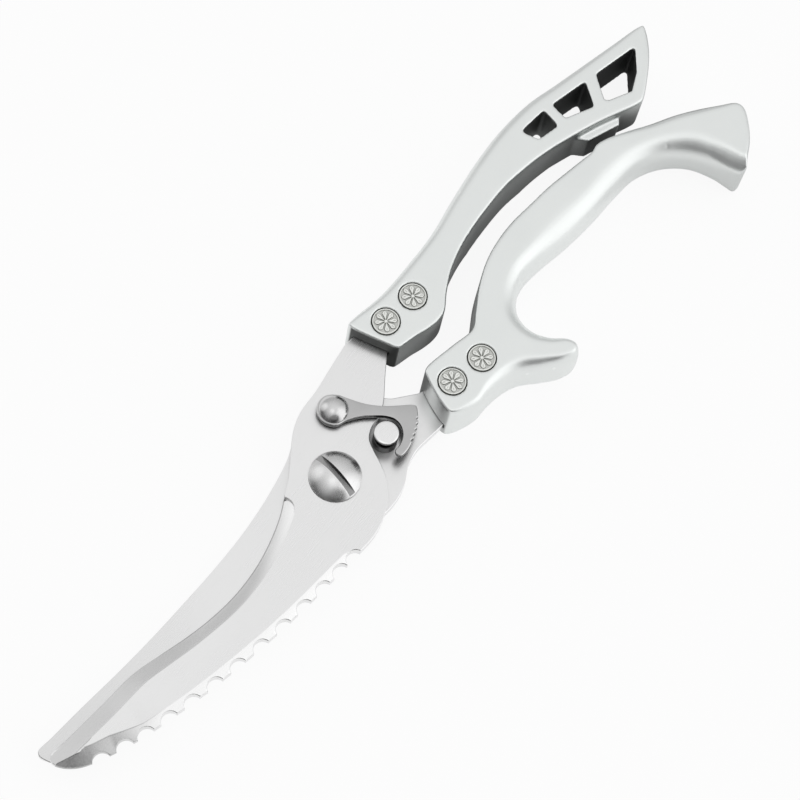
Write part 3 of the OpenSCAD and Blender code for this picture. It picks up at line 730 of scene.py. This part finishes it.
def tail_cutter():
    """Cuts the top of the tail back, so that its crest stays broad up to the end face."""
    line = open_curve(TAIL, 12)
    handle = closed_curve(LOWER_OUTLINE, 10)[:, :2]

    def crest_width(t):
        return np.interp(t, TAIL_KNOTS, TAIL_WIDTH)

    def low(plan):
        d, t = distance_to(line, plan)
        d = np.where(contains(handle, plan), d, 0)
        inner = np.clip(1 - d / crest_width(t), 0, 1)
        flat = 0.7 * np.clip((t - 0.35) / 0.4, 0, 1)
        fall = (1 - flat) * (1 - np.sqrt(1 - inner**2)) + flat * inner**1.4
        return LOWER_DEPTH - np.interp(t, TAIL_KNOTS, TAIL_DROP) * fall

    widths = crest_width(progress(line))
    inner, outer = bevel_lines(line, widths, [1])[0], line - inward(line, False) * 2
    lines = [curve[1:-1] for curve in bevel_lines(line, widths, [0, 0.08, 0.2, 0.4, 0.6, 0.8])]
    return field_plate("tail_cutter", np.vstack([outer, inner[::-1]]), [], lines, low,
                       lambda plan: np.full(len(plan), LOWER_DEPTH + 1))


def make_lower_handle():
    obj = casting("lower_handle_casting", LOWER_OUTLINE, LOWER_DEPTH)
    cutters = [tail_cutter(), prism(LOWER_TAB, REAR_BOTTOM - PLAY, CONTACT_Z + PLAY)]
    for pos in LOWER_POSTS:
        cutters += post_cutters(pos, LOWER_DEPTH)
    combine(obj, cutters)
    soften(obj)
    # Painted shade on the end wall that the tang enters
    set_attribute(obj, "recess", FORE_SHADE[1] * fore_wall(LOWER_FORE, xyz(obj), LOWER_DEPTH))
    smooth(obj, 180)
    finish_piece(obj, "rear_half", CAST, ["lower_handle"])


# ---------------------------------------------------------------- blades
CHAMFER = 0.14


def make_front_blade():
    body = open_curve(FRONT_TANG + CUTTING_EDGE + FRONT_TIP + SCALER_SPINE + FRONT_HEEL, 12)
    outline = resample(np.vstack([body, FRONT_TAB]), 0.5)
    spine = open_curve(SCALER_SPINE, 24)
    spine_in = inward(spine, False)
    for k in range(SCALLOPS):
        i = round((k + 0.6) * (len(spine) - 1) / SCALLOPS)
        outline = bite(outline, spine[i] - spine_in[i] * 0.6, SCALLOP_R)
    outline = bite(outline, TIP_SCALLOP, SCALLOP_R)
    cut = open_curve([[-8.4, 9]] + CUTTING_EDGE + [[-106, 11.3]], 12)
    back = open_curve([[-104, 8.6], [-101.6, 5.2], [-97, 1.6]] + SCALER_SPINE[:-1] + [[-15.5, -17.1]], 12)

    def cut_width(t):
        return BEVEL_W * (0.9 + 0.25 * np.clip((t - 0.45) / 0.25, 0, 1))

    def back_shape(t):
        tip = np.clip(1 - (t - 0.18) / 0.1, 0, 1)
        return SPINE_BEVEL_W + 1.5 * tip, SPINE_BEVEL_D + tip

    def started(plan):
        """1 where the grinding wheel has reached full depth, 0 before its rounded start."""
        past = (BEVEL_START[0] - plan[:, 0]) > 0.4 * (plan[:, 1] - BEVEL_START[1])
        reach = BEVEL_START_R - np.linalg.norm(plan - np.array(BEVEL_START), axis=1)
        return np.where(past, 1.0, np.clip(reach / 0.2, 0, 1))

    def cut_relief(plan):
        d, t = distance_to(cut, plan)
        rise = 1 - np.clip(d / cut_width(t), 0, 1)
        flat = 0.8 + 0.2 * np.clip((t - 0.5) / 0.1, 0, 1)
        return BEVEL_D * (flat * rise + (1 - flat) * rise**2) * started(plan)

    def under(plan):
        """True on the spine's side of the line where the two grinds meet behind the tip."""
        (x1, y1), (x2, y2) = TIP_LINE
        return plan[:, 1] < np.interp(plan[:, 0], [x2, x1], [y2, y1])

    def back_relief(plan):
        d, t = distance_to(back, plan)
        w, deep = back_shape(t)
        return deep * (1 - np.clip(d / w, 0, 1)) * under(plan)

    def top(plan):
        d, _ = distance_to(outline, plan, closed=True)
        depth = np.maximum(cut_relief(plan), back_relief(plan)) + np.clip(CHAMFER - d, 0, CHAMFER)
        return FRONT_TOP - np.minimum(depth, FRONT_TOP - FRONT_Z - 0.3)

    def shading(plan):
        """Dark lines of painted shade along the honed edge and the ridges, and the darker rough grind
        behind the tip.
        """
        d, t = distance_to(cut, plan)
        ridge = 0.35 * np.clip(1 - np.abs(d - cut_width(t)) / 0.2, 0, 1) * np.clip((t - 0.5) / 0.1, 0, 1)
        edge = 0.85 * np.clip(1 - d / 0.3, 0, 1) * np.clip((0.6 - t) / 0.1, 0, 1) * started(plan)
        gap, along = distance_to(back, plan)
        wide = back_shape(along)[0]
        near_tip = np.clip(1 - (along - 0.05) / 0.27, 0, 1)
        grind = 0.6 * near_tip * (gap < wide - 0.05) * under(plan)
        seam = 0.55 * np.clip(1 - np.abs(gap - wide) / 0.2, 0, 1) * np.clip((0.35 - along) / 0.1, 0, 1)
        seam = seam * (d > cut_width(t)) * under(plan)
        return np.maximum.reduce([ridge * ~under(plan), edge, grind, seam])

    t = progress(cut)
    lines = bevel_lines(cut, cut_width(t), [0.05, 0.1, 0.2, 0.4, 0.6, 0.8, 0.95, 1.0, 1.05])
    for radius in (BEVEL_START_R, BEVEL_START_R - 0.2):
        lines.append(np.roll(circle(BEVEL_START, radius, 64), -20, 0))
    for shift in (-0.06, 0.06):
        lines.append(resample(np.array(TIP_LINE) + [0, shift], 0.5, False))
    t = progress(back)
    lines += bevel_lines(back, back_shape(t)[0], [0.5, 0.95, 1.0, 1.07])
    lines.append(outline + inward(outline, True) * CHAMFER)
    lines = [line[contains(outline, line)] for line in lines]
    holes = [circle((0, 0), BARREL_R), circle(RIVET, PIN_R + 0.03, 32)]
    holes += [circle(place, POST_R + PLAY, 32) for place in UPPER_POSTS]
    obj = field_plate("front_blade_ground", outline, holes, lines,
                      lambda plan: np.full(len(plan), FRONT_Z), top)
    points = xyz(obj)
    set_attribute(obj, "ground", np.clip((FRONT_TOP - 0.2 - points[:, 2]) / 0.15, 0, 1))
    set_attribute(obj, "shade", shading(points[:, :2]))
    smooth(obj, 12)
    finish_piece(obj, "front_half", BLADE, ["front_blade"])


def make_rear_blade():
    body = open_curve(REAR_SPINE + REAR_TIP + REAR_EDGE + REAR_HEEL, 12)
    outline = resample(np.vstack([body, REAR_TAB]), 0.5)
    cut = open_curve([[-106, 10.6], [-102.6, 9.2]] + REAR_EDGE, 12)

    def bottom(plan):
        d, _ = distance_to(cut, plan)
        depth = BEVEL_D * (1 - np.clip(d / BEVEL_W, 0, 1)**1.4)
        d, _ = distance_to(outline, plan, closed=True)
        return REAR_BOTTOM + np.minimum(depth + np.clip(CHAMFER - d, 0, CHAMFER), 2.6)

    def top(plan):
        d, _ = distance_to(outline, plan, closed=True)
        return CONTACT_Z - np.clip(CHAMFER - d, 0, CHAMFER)

    widths = np.full(len(cut), BEVEL_W)
    lines = bevel_lines(cut, widths, [0.25, 0.5, 0.75, 1.0])
    lines.append(outline + inward(outline, True) * CHAMFER)
    lines = [line[contains(outline, line)] for line in lines]
    holes = [circle((0, 0), BARREL_R), circle(STUD, PIN_R + 0.03, 32)]
    holes += [circle(place, POST_R + PLAY, 32) for place in LOWER_POSTS]
    obj = field_plate("rear_blade_ground", outline, holes, lines, bottom, top)
    points = xyz(obj)
    set_attribute(obj, "ground", np.clip((points[:, 2] - REAR_BOTTOM - 0.2) / 0.15, 0, 1)
                  * (points[:, 2] < CONTACT_Z - 0.3))
    # Painted shade, darker towards the tip
    set_attribute(obj, "shade", 0.12 * np.clip((-45 - points[:, 0]) / 45, 0, 1))
    smooth(obj, 12)
    finish_piece(obj, "rear_half", BLADE, ["rear_blade"])


# ---------------------------------------------------------------- latch, pivot and stud
def make_lever():
    outline = resample(closed_curve(LEVER_OUTLINE, 12)[:, :2], 0.15)
    for place in SERRATIONS:
        outline = bite(outline, place, SERRATION_R, 8)

    def drop(plan):
        d, _ = distance_to(outline, plan, closed=True)
        t = np.clip(1 - d / LEVER_EDGE, 0, 1)
        return LEVER_EDGE * (1 - np.sqrt(1 - t**2))

    lines = [outline + inward(outline, True) * LEVER_EDGE * f for f in (0.3, 0.65, 1.0)]
    lines = [line[contains(outline, line)] for line in lines]
    obj = field_plate("latch_lever_stamping", outline, [circle(RIVET, PIN_R + PLAY, 32)], lines,
                      lambda plan: LEVER_Z + drop(plan), lambda plan: LEVER_TOP - drop(plan))
    points = xyz(obj)
    # The edge attribute marks the rounded top edge, where the painted highlight goes
    d, _ = distance_to(outline, points[:, :2], closed=True)
    rim = points[:, 2] > LEVER_TOP - LEVER_EDGE - 0.01
    set_attribute(obj, "edge", np.clip(1 - d / LEVER_EDGE, 0, 1) * rim)
    smooth(obj, 35)
    finish_piece(obj, "latch", SHEET, ["latch_lever"])


def make_rivet():
    low = LEVER_TOP + PLAY
    radius = width_of("latch_rivet") / 2
    profile = [(0, FRONT_Z), (PIN_FOOT_R, FRONT_Z), (PIN_R, FRONT_Z + 1), (PIN_R, low)]
    profile += dome(radius, low, 2.2)
    obj = lathe("latch_rivet_dome", profile, RIVET)
    smooth(obj, 35)
    finish_piece(obj, "front_half", POLISHED, ["latch_rivet"])


def make_stud():
    radius = width_of("stop_stud") / 2
    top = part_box("stop_stud")[1].z / MM
    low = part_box("stop_stud")[0].z / MM
    profile = [(0, low), (PIN_FOOT_R, low), (PIN_FOOT_R, REAR_BOTTOM), (PIN_R, REAR_BOTTOM),
               (PIN_R, CONTACT_Z), (radius, CONTACT_Z), (radius, LEVER_Z - 0.2),
               (radius - 0.1, LEVER_Z - 0.15), (STUD_NECK_R, LEVER_Z - 0.15),
               (STUD_NECK_R, LEVER_TOP + 0.15), (radius - 0.1, LEVER_TOP + 0.15),
               (radius, LEVER_TOP + 0.25), (radius, top - 0.35), (radius - 0.12, top - 0.14),
               (radius - 0.4, top - 0.02), (radius - 0.7, top), (0, top)]
    obj = lathe("stop_stud_turned", profile, STUD)
    # Painted shade on the stud below its head
    set_attribute(obj, "shade", np.where(xyz(obj)[:, 2] < LEVER_TOP + 0.2, 0.97, 0.0))
    smooth(obj, 30)
    finish_piece(obj, "rear_half", STUD_STEEL, ["stop_stud"])


def make_pivot_screw():
    radius = width_of("pivot_screw") / 2
    low = FRONT_TOP + PLAY
    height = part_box("pivot_screw")[1].z / MM - low
    profile = [(0, SHANK_END), (SHANK_R, SHANK_END), (SHANK_R, low)] + dome(radius, low, height, 24, 0.3)
    obj = lathe("pivot_screw_domed", profile, segments=128)
    turn = math.radians(SLOT_TURN)
    half = SLOT_W / 2
    reach = radius + 2
    corners = [(-reach, -half), (reach, -half), (reach, half), (-reach, half)]
    loop = [(x * math.cos(turn) - y * math.sin(turn), x * math.sin(turn) + y * math.cos(turn))
            for x, y in corners]
    floor_z = low + height - SLOT_DEEP - 0.3
    combine(obj, [prism(loop, floor_z, low + height + 2)])

    def slot_floor(points):
        aside = points[:, 1] * math.cos(turn) - points[:, 0] * math.sin(turn)
        return (np.abs(aside) < half + 0.05) & (np.abs(points[:, 2] - floor_z) < 0.05)

    rim = obj.modifiers.new("rim", "BEVEL")
    rim.width, rim.segments, rim.limit_method, rim.angle_limit = 0.12 * MM, 2, "ANGLE", math.radians(40)
    bake(obj)
    # Painted shade on the slot's floor
    set_attribute(obj, "shade", np.where(slot_floor(xyz(obj)), 0.55, 0.0))
    smooth(obj, 30)
    finish_piece(obj, "rear_half", SCREW_STEEL, ["pivot_screw"])


# ---------------------------------------------------------------- rosette posts
PETALS = 8
RELIEF = 0.3
ROSETTE_RINGS = 56
ROSETTE_STEPS = 192


def rosette_height(r, angle):
    """Drop below the head's face and share of dark patina and of painted shade at the rim, for r from 0 to
    1.
    """
    slice_angle = 2 * math.pi / PETALS
    a = (angle + slice_angle / 2) % slice_angle - slice_angle / 2
    across = r * np.sin(np.abs(a))
    inner = 0.03 + 0.155 * np.clip((r - 0.1) / 0.5, 0, 1)**1.2
    outer = 0.185 * np.sqrt(np.clip(1 - ((r - 0.6) / 0.18)**2, 0, 1))
    half = np.where(r < 0.6, inner, outer)
    petal = np.clip((half - across) / 0.05 + 0.4, 0, 1)
    leaf_line = np.clip(1 - np.abs(across - half) / 0.032, 0, 1) * (r > 0.16) * (r < 0.82)
    vein = np.clip(1 - across / 0.03, 0, 1) * (r > 0.5) * (r < 0.68)
    rim = np.clip((r - 0.84) / 0.03, 0, 1) * np.clip((0.975 - r) / 0.03, 0, 1)
    hub = np.clip((0.14 - r) / 0.03, 0, 1)
    raised = np.maximum.reduce([petal * (1 - 0.5 * vein), rim, hub])
    dark = np.maximum(0.35 * (1 - raised), 0.9 * leaf_line * (1 - rim))
    # Painted shade at the head's rim, where it meets the counterbore
    dark = np.maximum(dark, np.where(r > 0.965, 1.0, 0.0))
    return RELIEF * np.maximum(1 - raised, 0.6 * leaf_line) * (r < 0.965) + 0.5 * (r >= 0.965), dark


def make_post(name, node, pos, depth, body):
    """Post with the rosette's relief on its head, as rings of points from the middle out."""
    rings, segments = ROSETTE_RINGS, ROSETTE_STEPS
    radii = np.linspace(0, 1, rings + 1)[1:]
    angles = np.linspace(0, 2 * math.pi, segments, endpoint=False)
    r, a = np.meshgrid(radii, angles, indexing="ij")
    drop, dark = rosette_height(r, a)
    r_mm = r * ROSETTE_R
    points = [(pos[0], pos[1], depth)]
    points += list(zip((pos[0] + r_mm * np.cos(a)).ravel(), (pos[1] + r_mm * np.sin(a)).ravel(),
                       (depth - drop).ravel()))
    shade = [0.0] + list(dark.ravel())
    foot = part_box(node)[0].z / MM
    # The head's side and the post below are full dark: painted shade in the counterbore
    for radius, z in ((ROSETTE_R, depth - POST_HEAD_T), (POST_R, depth - POST_HEAD_T), (POST_R, foot)):
        points += [(pos[0] + radius * math.cos(t), pos[1] + radius * math.sin(t), z) for t in angles]
        shade += [1.0] * segments
    faces = [[0, 1 + i, 1 + (i + 1) % segments] for i in range(segments)]
    rows = rings + 3
    for low, high in ((1 + k * segments, 1 + (k + 1) * segments) for k in range(rows - 1)):
        faces += [[low + i, high + i, high + (i + 1) % segments, low + (i + 1) % segments]
                  for i in range(segments)]
    faces.append([1 + (rows - 1) * segments + i for i in range(segments)])
    obj = new_object(name, points, faces)
    set_attribute(obj, "recess", shade)
    smooth(obj, 40)
    finish_piece(obj, body, ROSETTE, [node])


make_upper_handle()
make_lower_handle()
make_front_blade()
make_rear_blade()
make_lever()
make_rivet()
make_stud()
make_pivot_screw()
for side, posts, depth, body in (("upper", UPPER_POSTS, UPPER_DEPTH, "front_half"),
                                 ("lower", LOWER_POSTS, LOWER_DEPTH, "rear_half")):
    for place, pos in zip(("fore", "aft"), posts):
        make_post(f"{side}_{place}_rosette", f"{side}_{place}_post", pos, depth, body)

# Hardware that keeps its CAD shape gets rounded edges and its own finish
for node in ("pivot_nut", "pivot_washer", "pivot_spring", "latch_washer", "upper_fore_screw",
             "upper_aft_screw", "lower_fore_screw", "lower_aft_screw"):
    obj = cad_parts[node]
    weld = obj.modifiers.new("weld", "WELD")
    weld.merge_threshold = 0.002 * MM
    edge = obj.modifiers.new("edge", "BEVEL")
    edge.width, edge.segments, edge.limit_method, edge.angle_limit = 0.1 * MM, 2, "ANGLE", math.radians(40)
    finish = WIRE if node in ("pivot_washer", "pivot_spring") else HARDWARE
    for place in range(len(obj.material_slots)):
        obj.material_slots[place].material = finish


# ---------------------------------------------------------------- stage, light and camera
CAMERA_ELEVATION = 68.2
CAMERA_HEADING = 23.9
CAMERA_ROLL = 14.0
CAMERA_DISTANCE = 703.5
CAMERA_LENS = 120
CAMERA_TARGET = (28.75, 0.2, CONTACT_Z)
SEEN_GLOW = 0.9
MIRROR_GLOW = 0.7
GAP_GLOW = 0.22
TAIL_GLOW = 0.65
FLOOR_R = 4000
HORIZON = 0.58
HORIZON_DARK = 0.1
ZENITH = 0.95
SIDE_BANK = 1.32
KEY_WINDOW = (-0.22, 0.0, 0.975)
SIDE_STRIP = (-0.20, 0.88, 0.43)
CAMERA_SIDE = (-0.58, -0.60, 0.55)
CAMERA_SIDE_DARK = 0.12
KEY_PLACE = (-0.5, -0.5, 0.7)
KEY_TARGET = (0.03, 0, 0)
KEY_SIZE = 0.7
KEY_POWER = 0.3


def aim(elevation, heading, roll):
    """Camera turn for looking down at an elevation, forward along a heading from +X."""
    e, h = math.radians(elevation), math.radians(heading)
    forward = Vector((math.cos(e) * math.cos(h), math.cos(e) * math.sin(h), -math.sin(e)))
    turn = forward.to_track_quat("-Z", "Y").to_matrix()
    return forward, turn @ Matrix.Rotation(math.radians(roll), 3, "Z")


def make_camera():
    data = bpy.data.cameras.new("camera")
    data.lens, data.sensor_width = CAMERA_LENS, 36
    data.clip_start, data.clip_end = 0.01, 20
    camera = bpy.data.objects.new("camera", data)
    bpy.context.scene.collection.objects.link(camera)
    forward, turn = aim(CAMERA_ELEVATION, CAMERA_HEADING, CAMERA_ROLL)
    place = Vector(CAMERA_TARGET) * MM - forward * CAMERA_DISTANCE * MM
    camera.matrix_world = Matrix.Translation(place) @ turn.to_4x4()
    bpy.context.scene.camera = camera


def make_light():
    data = bpy.data.lights.new("key_softbox", "AREA")
    data.shape, data.size, data.size_y, data.energy = "RECTANGLE", KEY_SIZE, KEY_SIZE, KEY_POWER
    light = bpy.data.objects.new("key_softbox", data)
    bpy.context.scene.collection.objects.link(light)
    light.location = KEY_PLACE
    light.rotation_euler = (Vector(KEY_TARGET) - light.location).to_track_quat("-Z", "Y").to_euler()


def make_floor():
    """Pale floor that looks evenly bright; to reflections it glows, less in the handles' gap and beyond the
    tail, which is painted shade.
    """
    s = Shader("studio_floor")
    speck = s.noise((0.02, 0.02, 0.02), 2.0)
    colour = s.mix(speck, (0.93, 0.93, 0.93), (0.95, 0.95, 0.95))
    plain = s.node("ShaderNodeBsdfDiffuse", {"Color": colour})
    seen = s.node("ShaderNodeEmission", {"Color": (1, 1, 1, 1), "Strength": 1.0})
    place = s.node("ShaderNodeSeparateXYZ", {0: s.position((1, 1, 1))}).outputs
    outside = s.math("MAXIMUM", s.ramp(place[1], -3, -8), s.ramp(place[1], 14, 20))
    outside = s.math("MAXIMUM", outside, s.ramp(place[0], 15, 5))
    glow = s.math("MULTIPLY_ADD", outside, 1 - GAP_GLOW, GAP_GLOW)
    glow = s.math("MULTIPLY", glow, s.ramp(place[0], 115, 130, 1, TAIL_GLOW))
    ground = s.node("ShaderNodeBsdfDiffuse", {"Color": s.mix(outside, (0.4, 0.4, 0.4), (0.9, 0.9, 0.9))})
    shine = s.node("ShaderNodeEmission", {"Color": (1, 1, 1, 1), "Strength": glow})
    dim = s.node("ShaderNodeMixShader", {0: MIRROR_GLOW, 1: ground.outputs[0], 2: shine.outputs[0]})
    path = s.node("ShaderNodeLightPath")
    lit = s.node("ShaderNodeMixShader", {0: SEEN_GLOW, 1: plain.outputs[0], 2: seen.outputs[0]})
    out = s.node("ShaderNodeMixShader", {0: path.outputs["Is Glossy Ray"], 1: lit.outputs[0],
                                         2: dim.outputs[0]})
    s.node("ShaderNodeOutputMaterial", {"Surface": out.outputs[0]})
    edge = circle((0, 0), FLOOR_R, 64)
    floor = ring_solid("studio_floor", [[(x, y, z) for x, y in edge] for z in (-20, -0.3)])
    floor.data.materials.append(s.material)


def make_world():
    """Studio dome: bright above, a light bank towards -Y, dark towards -X and the camera's side."""
    world = bpy.data.worlds.new("studio")
    bpy.context.scene.world = world
    s = Shader("studio", world)
    sky = s.node("ShaderNodeTexCoord").outputs["Generated"]
    x, y, z = s.node("ShaderNodeSeparateXYZ", {0: sky}).outputs
    flat = s.math("SQRT", s.math("MAXIMUM", 0.002, s.math("SUBTRACT", 1.0, s.math("MULTIPLY", z, z))))
    east, north = s.math("DIVIDE", x, flat), s.math("DIVIDE", y, flat)
    side = s.ramp(east, -0.1, -0.65, HORIZON, HORIZON_DARK)
    up = s.ramp(z, 0.3, 0.98)
    side = s.math("MULTIPLY", side, s.math("SUBTRACT", 1.0, up))
    level = s.math("ADD", side, s.math("MULTIPLY", ZENITH, up))
    bank = s.math("MULTIPLY", s.ramp(north, -0.3, -0.8), s.ramp(east, -0.4, 0.05))
    bank = s.math("MULTIPLY", bank, s.ramp(z, 0.94, 0.86))
    level = s.math("ADD", level, s.math("MULTIPLY", bank, s.math("SUBTRACT", SIDE_BANK, level)))

    def towards(aim_at):
        return s.node("ShaderNodeVectorMath", {0: sky, 1: aim_at}, operation="DOT_PRODUCT").outputs["Value"]

    for aim_at, start, full, gain in ((KEY_WINDOW, 0.95, 1.0, 0.35), (SIDE_STRIP, 0.88, 0.98, 0.45)):
        beam = s.node("ShaderNodeMapRange", {"Value": towards(aim_at), "From Min": start, "From Max": full},
                      interpolation_type="SMOOTHSTEP").outputs[0]
        level = s.math("MULTIPLY_ADD", beam, gain, level)
    level = s.math("MULTIPLY", level, s.ramp(towards(CAMERA_SIDE), 0.86, 0.95, 1.0, CAMERA_SIDE_DARK))
    back = s.node("ShaderNodeBackground", {"Color": (1, 1, 1, 1), "Strength": level})
    s.node("ShaderNodeOutputWorld", {0: back.outputs[0]})


make_camera()
make_floor()
make_world()
make_light()
view = bpy.context.scene.view_settings
view.view_transform = "Standard"
